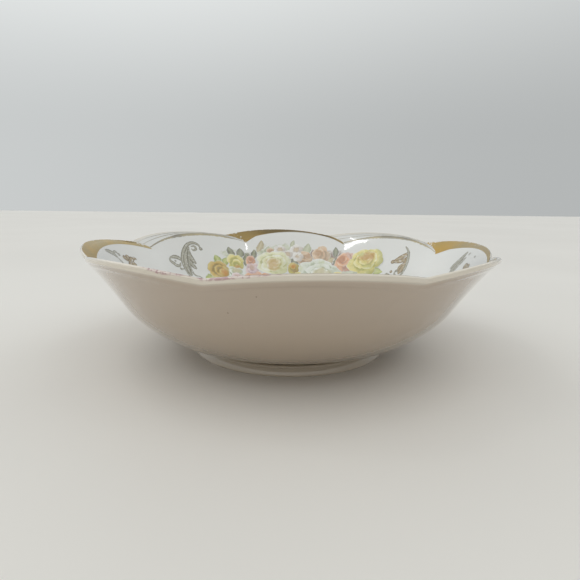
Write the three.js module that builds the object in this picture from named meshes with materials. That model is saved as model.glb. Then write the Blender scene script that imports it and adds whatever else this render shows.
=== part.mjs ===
// Porcelain serving bowl: an eight-lobed bowl with a swirled, flared rim, standing on a low foot ring.
// The flared rim carries solid gilt panels on four lobes and three fine gilt lines on each of the other
// four. A spray of roses covers the back of the well, and a leaf scroll stands on each of the other lobes.
// Millimetres, +Z up. The origin is the centre of the foot's resting plane, and the rose spray faces -Y.

import * as THREE from "three";

// ---- Driving dimensions ----
const LOBES = 8;
const LOBE_DEGREES = 360 / LOBES;
const FIRST_NOTCH_DEGREES = LOBE_DEGREES / 2; // the lobe tips lie on the X and Y axes and between them
const RIM_RADIUS = 127; // to a lobe's tip
const RIM_HEIGHT = 68; // at a lobe's tip
const SWIRL_DEGREES = 7.8; // how far the well's cusps lag behind the rim's notches
const FLOOR_TOP = 9.8; // inside floor of the well
const FLOOR_UNDERSIDE = 6.4;
const FOOT_RADIUS = 62.9; // outside of the foot where it stands
const FOOT_RECESS_RADIUS = 56.4;
const JOINT_GAP = 0.3; // between the foot ring and the body
const FOOT_HEIGHT = FLOOR_UNDERSIDE - JOINT_GAP;
const FILM_THICKNESS = 0.3; // gilding and transfers
const FILM_CLEARANCE = 0.4; // under the films, over the facets of the wall

// ---- Mesh fineness ----
const STEPS_PER_LOBE = 12;
const FOOT_SEGMENTS = 72;
const LINE_STEPS = 15; // along a gilt line or panel
const SCROLL_STEPS = 20;
const SPRAY_STEPS = 32;
const SPRAY_ROWS = 8;

// ---- Lobe shape ----
const INSIDE_LOBE_POWER = 0.4;
const OUTSIDE_LOBE_POWER = 0.5; // the creases are softer outside
const NOTCH_SOFTNESS = 0.06;

// ---- Sections of the wall at a lobe's tip, each with the depth of the notch beside it ----
// r and z place the section. notchIn and notchDrop say how far the notch stands in and down from it.
// swirl is the station's lag in degrees.
const insideStations = [
  { r: 0, z: FLOOR_TOP, notchIn: 0, notchDrop: 0, swirl: SWIRL_DEGREES },
  { r: 45, z: FLOOR_TOP, notchIn: 0, notchDrop: 0, swirl: SWIRL_DEGREES },
  { r: 58, z: 10.6, notchIn: 0, notchDrop: 0, swirl: SWIRL_DEGREES },
  { r: 68, z: 12.8, notchIn: 0, notchDrop: 0, swirl: SWIRL_DEGREES },
  { r: 80.6, z: 17.7, notchIn: 0.3, notchDrop: 0, swirl: SWIRL_DEGREES },
  { r: 91.1, z: 25, notchIn: 1.2, notchDrop: 0, swirl: SWIRL_DEGREES },
  { r: 99.7, z: 33.6, notchIn: 2.4, notchDrop: 0.4, swirl: SWIRL_DEGREES },
  { r: 106.3, z: 43.5, notchIn: 3.2, notchDrop: 1.8, swirl: SWIRL_DEGREES },
  { r: 114, z: 54.4, notchIn: 4, notchDrop: 4.6, swirl: SWIRL_DEGREES },
  { r: 121, z: 64.6, notchIn: 4.4, notchDrop: 7.4, swirl: SWIRL_DEGREES }, // scalloped edge of the well
  { r: 124.4, z: 66.9, notchIn: 4.8, notchDrop: 5.6, swirl: SWIRL_DEGREES / 2 },
  { r: RIM_RADIUS - 0.8, z: RIM_HEIGHT, notchIn: 5.1, notchDrop: 4.2, swirl: 0 }, // crown of the lip
];
const WELL_EDGE = 9; // the station that is the scalloped edge
const LIP_CROWN = 11; // the station that is the crown of the lip

const outsideStations = [
  { r: RIM_RADIUS, z: RIM_HEIGHT - 0.9, notchIn: 5.1, notchDrop: 4.2, swirl: 0 },
  { r: RIM_RADIUS, z: RIM_HEIGHT - 2.2, notchIn: 5.1, notchDrop: 4.2, swirl: 0 },
  { r: RIM_RADIUS - 0.8, z: RIM_HEIGHT - 3.1, notchIn: 5, notchDrop: 4.2, swirl: 0.5 }, // under the lip
  { r: 124.4, z: 63, notchIn: 4.6, notchDrop: 4.6, swirl: 1.5 },
  { r: 121.8, z: 60.6, notchIn: 3.6, notchDrop: 4.2, swirl: 3 },
  { r: 116.1, z: 53, notchIn: 2.4, notchDrop: 2.6, swirl: 6 },
  { r: 108.6, z: 41.9, notchIn: 1.4, notchDrop: 0.8, swirl: SWIRL_DEGREES },
  { r: 101.8, z: 31.8, notchIn: 0.7, notchDrop: 0.1, swirl: SWIRL_DEGREES },
  { r: 92.9, z: 22.9, notchIn: 0.2, notchDrop: 0, swirl: SWIRL_DEGREES },
  { r: 82, z: 15.2, notchIn: 0, notchDrop: 0, swirl: SWIRL_DEGREES },
  { r: 68.9, z: 10.2, notchIn: 0, notchDrop: 0, swirl: SWIRL_DEGREES },
  { r: 60.6, z: 7.4, notchIn: 0, notchDrop: 0, swirl: SWIRL_DEGREES },
  { r: 57, z: FLOOR_UNDERSIDE, notchIn: 0, notchDrop: 0, swirl: SWIRL_DEGREES },
];

// ---- Materials ----
function porcelain() {
  return new THREE.MeshStandardMaterial({ color: 0xe9e6df, roughness: 0.12, metalness: 0 });
}

function gilding() {
  return new THREE.MeshStandardMaterial({ color: 0xb8954a, roughness: 0.35, metalness: 0.8 });
}

function greyGold() {
  return new THREE.MeshStandardMaterial({ color: 0x9a947f, roughness: 0.4, metalness: 0.5 });
}

function roseColours() {
  return new THREE.MeshStandardMaterial({ color: 0xdcc08a, roughness: 0.2, metalness: 0 });
}

// ---- The lobed wall ----

// 0 in a notch and 1 at a lobe's tip; t runs from 0 to 1 along the lobe.
function lobeShape(t, power) {
  const square = Math.sin(Math.PI * t) ** 2;
  const soft = NOTCH_SOFTNESS ** 2;
  const low = soft ** power;
  return ((square + soft) ** power - low) / ((1 + soft) ** power - low);
}

// One number of a station list at a fractional station, on a smooth curve through the stations.
function alongStations(stations, key, level) {
  const last = stations.length - 1;
  const index = Math.min(Math.floor(level), last - 1);
  const here = stations[index][key];
  const next = stations[index + 1][key];
  const before = index > 0 ? stations[index - 1][key] : 2 * here - next;
  const after = index + 2 <= last ? stations[index + 2][key] : 2 * next - here;
  const w = level - index;
  const rise = (next - before) * w;
  const bend = (2 * before - 5 * here + 4 * next - after) * w * w;
  const twist = (3 * here - before - 3 * next + after) * w * w * w;
  return 0.5 * (2 * here + rise + bend + twist);
}

// The point of the inside surface at an angle in degrees and a fractional station.
function insidePoint(angle, level) {
  const along = (key) => alongStations(insideStations, key, level);
  const turns = (angle - FIRST_NOTCH_DEGREES + along("swirl")) / LOBE_DEGREES;
  const away = 1 - lobeShape(turns, INSIDE_LOBE_POWER);
  const radius = along("r") - along("notchIn") * away;
  const radians = THREE.MathUtils.degToRad(angle);
  const height = along("z") - along("notchDrop") * away;
  return new THREE.Vector3(radius * Math.cos(radians), radius * Math.sin(radians), height);
}

// The outward (into the well) unit normal of the inside surface.
function insideNormal(angle, level) {
  const step = 0.05;
  const around = insidePoint(angle + step, level).sub(insidePoint(angle - step, level));
  const up = insidePoint(angle, level + step / 2).sub(insidePoint(angle, level - step / 2));
  return up.cross(around).normalize();
}

// The station reached at a distance in mm from the floor's centre, measured along the inside section.
function levelAtDistance(distance) {
  const step = 0.02;
  let travelled = 0;
  let level = 0;
  while (travelled < distance && level < LIP_CROWN - step) {
    const dr = alongStations(insideStations, "r", level + step) - alongStations(insideStations, "r", level);
    const dz = alongStations(insideStations, "z", level + step) - alongStations(insideStations, "z", level);
    travelled += Math.hypot(dr, dz);
    level += step;
  }
  return level;
}

// ---- Closed meshes ----

function closedMesh(positions, triangles) {
  const geometry = new THREE.BufferGeometry();
  geometry.setAttribute("position", new THREE.Float32BufferAttribute(positions, 3));
  geometry.setIndex(triangles);
  geometry.computeVertexNormals();
  return geometry;
}

// A ring of points for one level of the wall.
function lobedRing(stations, level, power) {
  const along = (key) => alongStations(stations, key, level);
  const ring = [];
  for (let i = 0; i < LOBES * STEPS_PER_LOBE; i += 1) {
    const t = i / STEPS_PER_LOBE;
    const away = 1 - lobeShape(t, power);
    const radius = along("r") - along("notchIn") * away;
    const degrees = FIRST_NOTCH_DEGREES - along("swirl") + LOBE_DEGREES * t;
    const radians = THREE.MathUtils.degToRad(degrees);
    const height = along("z") - along("notchDrop") * away;
    ring.push([radius * Math.cos(radians), radius * Math.sin(radians), height]);
  }
  return ring;
}

// A solid skinned over a stack of rings, closed by a point at each end.
function solidFromRings(firstPoint, rings, lastPoint) {
  const count = rings[0].length;
  const positions = [...firstPoint];
  rings.forEach((ring) => ring.forEach((point) => positions.push(...point)));
  positions.push(...lastPoint);
  const at = (ring, i) => 1 + ring * count + (i % count);
  const end = 1 + rings.length * count;
  const triangles = [];
  for (let i = 0; i < count; i += 1) {
    triangles.push(0, at(0, i), at(0, i + 1));
    for (let ring = 0; ring + 1 < rings.length; ring += 1) {
      triangles.push(at(ring, i), at(ring + 1, i), at(ring + 1, i + 1));
      triangles.push(at(ring, i), at(ring + 1, i + 1), at(ring, i + 1));
    }
    triangles.push(at(rings.length - 1, i), end, at(rings.length - 1, i + 1));
  }
  return closedMesh(positions, triangles);
}

// A thin film over the inside wall. place(u, v) gives [angle, level] for u and v from 0 to 1, with u
// anticlockwise and v up the wall, so that the film's face looks into the well.
function film(place, stepsAlong, stepsAcross) {
  const positions = [];
  const columns = stepsAlong + 1;
  const rows = stepsAcross + 1;
  for (const lift of [FILM_CLEARANCE, FILM_CLEARANCE + FILM_THICKNESS]) {
    for (let row = 0; row < rows; row += 1) {
      for (let column = 0; column < columns; column += 1) {
        const [angle, level] = place(column / stepsAlong, row / stepsAcross);
        const point = insidePoint(angle, level).addScaledVector(insideNormal(angle, level), lift);
        positions.push(point.x, point.y, point.z);
      }
    }
  }
  const under = (column, row) => row * columns + column;
  const over = (column, row) => rows * columns + under(column, row);
  const triangles = [];
  const quad = (a, b, c, d) => triangles.push(a, b, c, a, c, d);
  for (let row = 0; row < stepsAcross; row += 1) {
    for (let column = 0; column < stepsAlong; column += 1) {
      quad(under(column, row), under(column + 1, row), under(column + 1, row + 1), under(column, row + 1));
      quad(over(column, row), over(column, row + 1), over(column + 1, row + 1), over(column + 1, row));
    }
    quad(under(0, row), under(0, row + 1), over(0, row + 1), over(0, row));
    quad(under(stepsAlong, row), over(stepsAlong, row), over(stepsAlong, row + 1), under(stepsAlong, row + 1));
  }
  for (let column = 0; column < stepsAlong; column += 1) {
    quad(under(column, 0), over(column, 0), over(column + 1, 0), under(column + 1, 0));
    quad(
      under(column, stepsAcross),
      under(column + 1, stepsAcross),
      over(column + 1, stepsAcross),
      over(column, stepsAcross),
    );
  }
  return closedMesh(positions, triangles);
}

// ---- Porcelain ----

function bowlBody() {
  const rings = [];
  const insideLevels = [1, 2, 3, 3.5, 4, 4.5, 5, 5.5, 6, 6.5, 7, 7.5, 8, 8.5, WELL_EDGE, 10, LIP_CROWN];
  insideLevels.forEach((level) => rings.push(lobedRing(insideStations, level, INSIDE_LOBE_POWER)));
  outsideStations.forEach((station, level) => {
    const onLip = level < 3;
    rings.push(lobedRing(outsideStations, level, onLip ? INSIDE_LOBE_POWER : OUTSIDE_LOBE_POWER));
  });
  return solidFromRings([0, 0, FLOOR_TOP], rings, [0, 0, FLOOR_UNDERSIDE]);
}

// The foot's section, from the inner edge of its flat tread round the outside and back down the recess.
function footRing() {
  const top = FOOT_HEIGHT;
  const section = [
    [FOOT_RECESS_RADIUS + 1.4, 0],
    [FOOT_RADIUS - 0.9, 0],
    [FOOT_RADIUS - 0.2, 0.3],
    [FOOT_RADIUS, 0.9],
    [FOOT_RADIUS - 0.9, 3.2],
    [FOOT_RADIUS - 1.9, top - 1.3],
    [FOOT_RADIUS - 1.5, top - 0.8], // bead under the wall
    [FOOT_RADIUS - 1.9, top - 0.3],
    [FOOT_RADIUS - 2.8, top],
    [FOOT_RECESS_RADIUS, top],
    [FOOT_RECESS_RADIUS + 0.2, top / 2],
    [FOOT_RECESS_RADIUS + 0.7, 0.7],
  ];
  const points = section.map(([r, z]) => new THREE.Vector2(r, z));
  points.push(points[0].clone());
  const geometry = new THREE.LatheGeometry(points, FOOT_SEGMENTS);
  geometry.rotateX(Math.PI / 2);
  return geometry;
}

// ---- Gilding on the flared rim ----

// A place on a lobe's flare: across runs from the well's edge (0) to the lip's crown (1), along runs
// anticlockwise from notch to notch.
function onFlare(lobe, along, across) {
  const level = WELL_EDGE + across * (LIP_CROWN - WELL_EDGE);
  const swirl = alongStations(insideStations, "swirl", level);
  const angle = FIRST_NOTCH_DEGREES - swirl + LOBE_DEGREES * (lobe + along);
  return [angle, level];
}

function gildedPanel(lobe) {
  const margin = 0.03;
  const place = (u, v) => onFlare(lobe, margin + u * (1 - 2 * margin), 0.08 + v * 0.58);
  return film(place, LINE_STEPS, 2);
}

// A fine line from notch to notch, placed across the flare at its clockwise and anticlockwise ends.
function gildedLine(lobe, clockwiseEnd, anticlockwiseEnd, width) {
  const margin = 0.03;
  const place = (u, v) => {
    const middle = clockwiseEnd + u * (anticlockwiseEnd - clockwiseEnd);
    return onFlare(lobe, margin + u * (1 - 2 * margin), middle + (v - 0.5) * width);
  };
  return film(place, LINE_STEPS, 1);
}

// ---- Transfers on the wall of the well ----

// A leaf scroll: a stem that rises from the base and curls over at the top. side is 1 for a curl to
// the right of a person facing it and -1 for its mirror image.
function leafScroll(centreAngle, side) {
  const spine = new THREE.CatmullRomCurve3([
    new THREE.Vector3(4, 104, 0),
    new THREE.Vector3(-1, 112, 0),
    new THREE.Vector3(-3.5, 121, 0),
    new THREE.Vector3(-2, 130, 0),
    new THREE.Vector3(3, 135.5, 0),
    new THREE.Vector3(9, 135, 0),
    new THREE.Vector3(11.5, 131.5, 0),
  ]);
  const place = (u, v) => {
    const end = side > 0 ? 1 - u : u;
    const point = spine.getPointAt(end);
    const direction = spine.getTangentAt(end);
    const width = 0.8 + 3.4 * Math.sin(Math.PI * Math.min(1, 0.15 + 0.85 * end)) * (1 - 0.55 * end);
    const sidestep = (side > 0 ? v - 0.5 : 0.5 - v) * width;
    const across = (point.x - direction.y * sidestep * side) * side;
    const distance = point.y + direction.x * sidestep * side;
    const level = levelAtDistance(distance);
    const radius = alongStations(insideStations, "r", level);
    return [centreAngle - THREE.MathUtils.radToDeg(across / radius), level];
  };
  return film(place, SCROLL_STEPS, 1);
}

// The spray of roses: a broad band of bloom across the back of the well, with a scalloped upper edge
// and a lower edge that runs down onto the floor in the middle.
function roseSpray() {
  const right = 38;
  const left = 127;
  const place = (u, v) => {
    const bell = Math.sin(Math.PI * u);
    const upper = 121 + 9 * bell ** 0.4 + 3 * Math.abs(Math.sin(4 * Math.PI * u));
    const lower = 112 - 55 * bell ** 0.7;
    return [right + u * (left - right), levelAtDistance(lower + v * (upper - lower))];
  };
  return film(place, SPRAY_STEPS, SPRAY_ROWS);
}

// ---- Assembly ----

const bowl = new THREE.Group();

function add(name, geometry, material) {
  const mesh = new THREE.Mesh(geometry, material);
  mesh.name = name;
  bowl.add(mesh);
}

add("bowl_body", bowlBody(), porcelain());
add("foot_ring", footRing(), porcelain());

const panelLobes = { back: 1, left: 3, front: 5, right: 7 };
for (const [name, lobe] of Object.entries(panelLobes)) {
  add(`gilt_panel_${name}`, gildedPanel(lobe), gilding());
}

const linedLobes = { back_right: 0, back_left: 2, front_left: 4, front_right: 6 };
const lines = {
  inner: [0.1, 0.1, 0.16],
  middle: [0.31, 0.36, 0.11],
  outer: [0.52, 0.62, 0.11],
};
for (const [name, lobe] of Object.entries(linedLobes)) {
  for (const [line, [clockwiseEnd, anticlockwiseEnd, width]] of Object.entries(lines)) {
    add(`gilt_line_${name}_${line}`, gildedLine(lobe, clockwiseEnd, anticlockwiseEnd, width), greyGold());
  }
}

const scrolls = {
  back_left: [133, 1],
  left: [172.2, 1],
  front_left: [217.2, 1],
  front: [262.2, 1],
  front_right: [307.2, -1],
  right: [352.2, -1],
  back_right: [28.5, -1],
};
for (const [name, [angle, side]] of Object.entries(scrolls)) {
  add(`leaf_scroll_${name}`, leafScroll(angle, side), greyGold());
}

add("rose_spray", roseSpray(), roseColours());

export default bowl;
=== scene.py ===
"""A lobed porcelain serving bowl with gilt flares, leaf scrolls and a spray of roses, on a foot ring."""
import math

import bpy
import numpy as np
from mathutils import Matrix, Vector


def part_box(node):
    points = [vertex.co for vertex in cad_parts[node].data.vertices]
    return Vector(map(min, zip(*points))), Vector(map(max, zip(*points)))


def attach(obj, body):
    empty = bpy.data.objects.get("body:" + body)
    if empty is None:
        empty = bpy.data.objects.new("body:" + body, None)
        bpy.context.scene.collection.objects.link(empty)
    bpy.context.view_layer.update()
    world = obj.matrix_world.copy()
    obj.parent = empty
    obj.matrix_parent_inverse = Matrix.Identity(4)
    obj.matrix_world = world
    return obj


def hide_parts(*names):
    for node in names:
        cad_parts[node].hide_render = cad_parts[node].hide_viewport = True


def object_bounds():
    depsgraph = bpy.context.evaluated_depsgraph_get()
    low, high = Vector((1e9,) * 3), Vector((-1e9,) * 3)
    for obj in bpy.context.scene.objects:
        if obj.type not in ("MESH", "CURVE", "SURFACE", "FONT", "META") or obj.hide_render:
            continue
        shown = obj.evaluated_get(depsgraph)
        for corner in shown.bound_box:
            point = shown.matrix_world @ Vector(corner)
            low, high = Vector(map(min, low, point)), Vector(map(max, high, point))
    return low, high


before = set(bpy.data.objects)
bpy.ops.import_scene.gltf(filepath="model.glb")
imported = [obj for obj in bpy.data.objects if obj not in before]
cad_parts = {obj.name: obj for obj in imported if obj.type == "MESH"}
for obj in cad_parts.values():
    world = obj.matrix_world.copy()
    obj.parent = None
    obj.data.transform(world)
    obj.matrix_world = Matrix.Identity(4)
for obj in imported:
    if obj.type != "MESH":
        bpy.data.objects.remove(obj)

cad_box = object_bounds()

# ------------------------------------------------------------
# The porcelain body
# One piece of hard white porcelain, shaped over a lobed mould. Its rim flares outward in eight lobes,
# whose notches lead the cusps of the well by a few degrees, so that the flares swirl. It is dipped in a
# clear glaze that pools to a faint ripple.
# ------------------------------------------------------------
MM = 0.001
LOBES = 8
LOBE_DEGREES = 360 / LOBES
FIRST_NOTCH = LOBE_DEGREES / 2
SWIRL = 7.8
RIM_RADIUS = cad_box[1].x / MM
RIM_HEIGHT = cad_box[1].z / MM
WELL_EDGE = 9  # the station of the well's scalloped edge
LIP_CROWN = 11  # the station of the lip's crown

# Each station: radius, height, how far the notch stands in and drops beside it, and the swirl's lag.
INSIDE = np.array([
    (0, 9.8, 0, 0, SWIRL),
    (45, 9.8, 0, 0, SWIRL),
    (58, 10.6, 0, 0, SWIRL),
    (68, 12.8, 0, 0, SWIRL),
    (80.6, 17.7, 0.3, 0, SWIRL),
    (91.1, 25, 1.2, 0, SWIRL),
    (99.7, 33.6, 2.4, 0.4, SWIRL),
    (106.3, 43.5, 3.2, 1.8, SWIRL),
    (114, 54.4, 4, 4.6, SWIRL),
    (121, 64.6, 4.4, 7.4, SWIRL),
    (124.4, 66.9, 4.8, 5.6, SWIRL / 2),
    (RIM_RADIUS - 0.9, RIM_HEIGHT - 0.05, 5.1, 4.2, 0),
])
OUTSIDE = np.array([
    (RIM_RADIUS - 0.9, RIM_HEIGHT - 0.05, 5.1, 4.2, 0),
    (RIM_RADIUS - 0.15, RIM_HEIGHT - 0.6, 5.1, 4.2, 0),
    (RIM_RADIUS, RIM_HEIGHT - 1.5, 5.1, 4.2, 0),
    (RIM_RADIUS - 0.15, RIM_HEIGHT - 2.5, 5.1, 4.2, 0.2),
    (RIM_RADIUS - 0.9, RIM_HEIGHT - 3.2, 5, 4.2, 0.5),
    (124.4, 63, 4.6, 4.6, 1.5),
    (121.8, 60.6, 3.6, 4.2, 3),
    (116.1, 53, 2.4, 2.6, 6),
    (108.6, 41.9, 1.4, 0.8, SWIRL),
    (101.8, 31.8, 0.7, 0.1, SWIRL),
    (92.9, 22.9, 0.2, 0, SWIRL),
    (82, 15.2, 0, 0, SWIRL),
    (68.9, 10.2, 0, 0, SWIRL),
    (60.6, 7.4, 0, 0, SWIRL),
    (57, 6.5, 0, 0, SWIRL),
    (40, 6.4, 0, 0, SWIRL),
    (0, 6.4, 0, 0, SWIRL),
])


def along_stations(stations, level):
    """The stations' five numbers at fractional stations, on a smooth curve through them."""
    level = np.asarray(level, float)
    last = len(stations) - 1
    padded = np.vstack([2 * stations[0] - stations[1], stations, 2 * stations[-1] - stations[-2]])
    index = np.clip(np.floor(level).astype(int), 0, last - 1)
    w = (level - index)[..., None]
    before, here, after, beyond = (padded[index + k] for k in range(4))
    bend = 2 * before - 5 * here + 4 * after - beyond
    twist = 3 * here - before - 3 * after + beyond
    return 0.5 * (2 * here + (after - before) * w + bend * w**2 + twist * w**3)


def lobe_shape(t, power, softness=0.06):
    """0 in a notch and 1 at a lobe's tip; t counts lobes round the rim."""
    low = softness ** (2 * power)
    high = (1 + softness**2) ** power
    return ((np.sin(np.pi * t) ** 2 + softness**2) ** power - low) / (high - low)


def wall_point(stations, angle, level):
    """Points in mm on one face of the wall, at angles in degrees."""
    section = along_stations(stations, level)
    softer = np.clip((np.asarray(level) - 3) / 3, 0, 1) * 0.1 if stations is OUTSIDE else 0.0
    away = 1 - lobe_shape((angle - FIRST_NOTCH + section[..., 4]) / LOBE_DEGREES, 0.4 + softer)
    radius = section[..., 0] - section[..., 2] * away
    height = section[..., 1] - section[..., 3] * away
    turn = np.radians(angle)
    return np.stack([radius * np.cos(turn), radius * np.sin(turn), height], -1)


def in_the_well(angle, level, lift=0.0):
    """Points in metres on the inside of the bowl, lifted off it by some mm."""
    angle, level = np.broadcast_arrays(np.asarray(angle, float), np.asarray(level, float))
    here = wall_point(INSIDE, angle, level)
    around = wall_point(INSIDE, angle + 0.05, level) - wall_point(INSIDE, angle - 0.05, level)
    up = wall_point(INSIDE, angle, level + 0.01) - wall_point(INSIDE, angle, level - 0.01)
    normal = np.cross(up, around)
    normal /= np.linalg.norm(normal, axis=-1, keepdims=True) + 1e-12
    return (here + normal * np.asarray(lift)[..., None]) * MM


def make_piece(name, points, faces, attributes, material):
    """A smooth mesh from points in metres, with a number on each point for each named attribute."""
    mesh = bpy.data.meshes.new(name)
    mesh.from_pydata([tuple(p) for p in points], [], [tuple(int(i) for i in f) for f in faces])
    for key, values in attributes.items():
        layer = mesh.attributes.new(key, "FLOAT", "POINT")
        layer.data.foreach_set("value", np.asarray(values, np.float32).ravel())
    mesh.polygons.foreach_set("use_smooth", [True] * len(mesh.polygons))
    mesh.update()
    mesh.materials.append(material)
    piece = bpy.data.objects.new(name, mesh)
    bpy.context.scene.collection.objects.link(piece)
    return piece


def grid_faces(rows, columns, start=0, closed=False):
    """Quads between rows of points; a closed grid joins its last column to its first."""
    across = np.arange(columns if closed else columns - 1)
    down = np.arange(rows - 1)[:, None]
    a = start + down * columns + across
    b = start + down * columns + (across + 1) % columns
    return np.stack([a, b, b + columns, a + columns], -1).reshape(-1, 4)


def stand_for(piece, slot, *nodes):
    """The piece belongs to the bowl's one body and stands for these CAD nodes, which are hidden; slot is not
    used.
    """
    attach(piece, "root")
    if nodes:
        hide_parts(*nodes)
    return piece


def add_node(tree, kind, **settings):
    node = tree.nodes.new("ShaderNode" + kind)
    for key, value in settings.items():
        setattr(node, key, value)
    return node


def feed(tree, socket, value):
    """Sets a socket to a number or a colour, or links another node's output to it."""
    if isinstance(value, bpy.types.NodeSocket):
        tree.links.new(value, socket)
    elif isinstance(value, tuple) and len(value) == 3 and socket.type == "RGBA":
        socket.default_value = (*value, 1.0)
    else:
        socket.default_value = value


def maths(tree, operation, *values, clamp=False):
    node = add_node(tree, "Math", operation=operation, use_clamp=clamp)
    for socket, value in zip(node.inputs, values):
        feed(tree, socket, value)
    return node.outputs[0]


def product(tree, first, second):
    return maths(tree, "MULTIPLY", first, second)


def ramp_between(tree, value, low, high, out_low=0.0, out_high=1.0):
    """A smooth step from low to high."""
    node = add_node(tree, "MapRange", interpolation_type="SMOOTHSTEP")
    feed(tree, node.inputs["Value"], value)
    node.inputs["From Min"].default_value = low
    node.inputs["From Max"].default_value = high
    node.inputs["To Min"].default_value = out_low
    node.inputs["To Max"].default_value = out_high
    return node.outputs["Result"]


def blend_colour(tree, amount, first, second):
    node = add_node(tree, "Mix", data_type="RGBA")
    feed(tree, node.inputs[0], amount)
    feed(tree, node.inputs[6], first)
    feed(tree, node.inputs[7], second)
    return node.outputs[2]


def object_place(tree):
    return add_node(tree, "TexCoord").outputs["Object"]


def noise(tree, scale, detail=3.0, vector=None):
    node = add_node(tree, "TexNoise")
    node.inputs["Scale"].default_value = scale
    node.inputs["Detail"].default_value = detail
    feed(tree, node.inputs["Vector"], vector or object_place(tree))
    return node.outputs["Fac"]


def painted(tree, name):
    """A number that the piece's mesh carries on its points."""
    return add_node(tree, "Attribute", attribute_name=name).outputs["Fac"]


def new_group(name, inputs, outputs):
    """An empty node group; inputs are (name, default) numbers and outputs are (name, socket type)."""
    tree = bpy.data.node_groups.new(name, "ShaderNodeTree")
    for socket, default in inputs:
        kind = "NodeSocketColor" if isinstance(default, tuple) else "NodeSocketFloat"
        made = tree.interface.new_socket(socket, in_out="INPUT", socket_type=kind)
        made.default_value = (*default, 1.0) if isinstance(default, tuple) else default
    for socket, kind in outputs:
        tree.interface.new_socket(socket, in_out="OUTPUT", socket_type=kind)
    return tree, tree.nodes.new("NodeGroupInput"), tree.nodes.new("NodeGroupOutput")


def place_group(tree, group, **values):
    node = add_node(tree, "Group", node_tree=group)
    for key, value in values.items():
        feed(tree, node.inputs[key.replace("_", " ").capitalize()], value)
    return node


def glaze_ripple_group():
    """Clear glaze: a slow pooling ripple, a fine orange peel, patchy gloss and rare iron specks."""
    tree, given, out = new_group(
        "glaze ripple",
        [("Pooling", 1.0), ("Peel", 0.25), ("Gloss", 0.05), ("Specks", 1.0)],
        [("Height", "NodeSocketFloat"), ("Roughness", "NodeSocketFloat"), ("Speck", "NodeSocketFloat")],
    )
    pooling = product(tree, noise(tree, 55, 1.0), given.outputs["Pooling"])
    peel = product(tree, noise(tree, 900, 2.0), given.outputs["Peel"])
    tree.links.new(maths(tree, "ADD", pooling, peel), out.inputs["Height"])
    patchy = maths(tree, "MULTIPLY_ADD", noise(tree, 40, 4.0), 0.06, given.outputs["Gloss"])
    tree.links.new(patchy, out.inputs["Roughness"])
    cells = add_node(tree, "TexVoronoi")
    cells.inputs["Scale"].default_value = 95
    feed(tree, cells.inputs["Vector"], object_place(tree))
    dot = maths(tree, "LESS_THAN", cells.outputs["Distance"], 0.028)
    rare = maths(tree, "GREATER_THAN", cells.outputs["Color"], 0.72)
    speck = product(tree, product(tree, dot, rare), given.outputs["Specks"])
    tree.links.new(speck, out.inputs["Speck"])
    return tree


glaze_ripple = glaze_ripple_group()


def new_material(name, base_roughness, coat=1.0, coat_roughness=0.03):
    """A material with its Principled shader set for fired, glazed ware."""
    material = bpy.data.materials.new(name)
    material.use_nodes = True
    shader = material.node_tree.nodes["Principled BSDF"]
    shader.inputs["Roughness"].default_value = base_roughness
    shader.inputs["IOR"].default_value = 1.5
    shader.inputs["Coat Weight"].default_value = coat
    shader.inputs["Coat Roughness"].default_value = coat_roughness
    shader.inputs["Coat IOR"].default_value = 1.5
    return material, material.node_tree, shader


def bump(tree, shader, height, strength, distance):
    node = add_node(tree, "Bump")
    node.inputs["Strength"].default_value = strength
    node.inputs["Distance"].default_value = distance
    feed(tree, node.inputs["Height"], height)
    tree.links.new(node.outputs["Normal"], shader.inputs["Normal"])


GLAZED_WHITE = (0.81, 0.807, 0.785)


def glazed_porcelain():
    """Warm white under clear glaze, a little creamier on the lip, where traces of rubbed gold remain. The
    outside is painted with shade and a warm painted reflection, darkest towards the foot.
    """
    material, tree, shader = new_material("glazed porcelain", 0.18)
    glaze = place_group(tree, glaze_ripple)
    clouding = ramp_between(tree, noise(tree, 22, 3.0), 0.3, 0.7)
    white = blend_colour(tree, clouding, (0.80, 0.80, 0.78), (0.82, 0.815, 0.79))
    # Painted shade: the outside is tinted a darker, browner taupe that stands for shade and a warm
    # reflection, growing darker towards the foot.
    place = add_node(tree, "SeparateXYZ")
    feed(tree, place.inputs[0], object_place(tree))
    upward = ramp_between(tree, place.outputs["Z"], 0.008, 0.055)
    outside_painted_shade = blend_colour(tree, upward, (0.40, 0.315, 0.22), (0.53, 0.435, 0.345))
    white = blend_colour(tree, painted(tree, "outside"), white, outside_painted_shade)
    lip = painted(tree, "lip")
    cream = blend_colour(tree, product(tree, lip, 0.7), white, (0.80, 0.705, 0.555))
    flecks = ramp_between(tree, noise(tree, 520, 6.0), 0.46, 0.60)
    patches = maths(tree, "MULTIPLY_ADD", noise(tree, 90, 3.0), 0.8, painted(tree, "rubbed"))
    left_over = ramp_between(tree, patches, 0.58, 0.9)
    trace = product(tree, product(tree, flecks, left_over), 0.8)
    cream = blend_colour(tree, trace, cream, (0.36, 0.14, 0.14))
    cream = blend_colour(tree, product(tree, left_over, 0.3), cream, (0.60, 0.42, 0.47))
    specked = blend_colour(tree, product(tree, glaze.outputs["Speck"], 0.8), cream, (0.12, 0.09, 0.06))
    tree.links.new(specked, shader.inputs["Base Color"])
    tree.links.new(glaze.outputs["Roughness"], shader.inputs["Roughness"])
    bump(tree, shader, glaze.outputs["Height"], 0.12, 0.0004)
    return material


STEPS_PER_LOBE = 80
FLARE_LEVELS = np.linspace(WELL_EDGE - 0.1, LIP_CROWN, 43)


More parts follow.
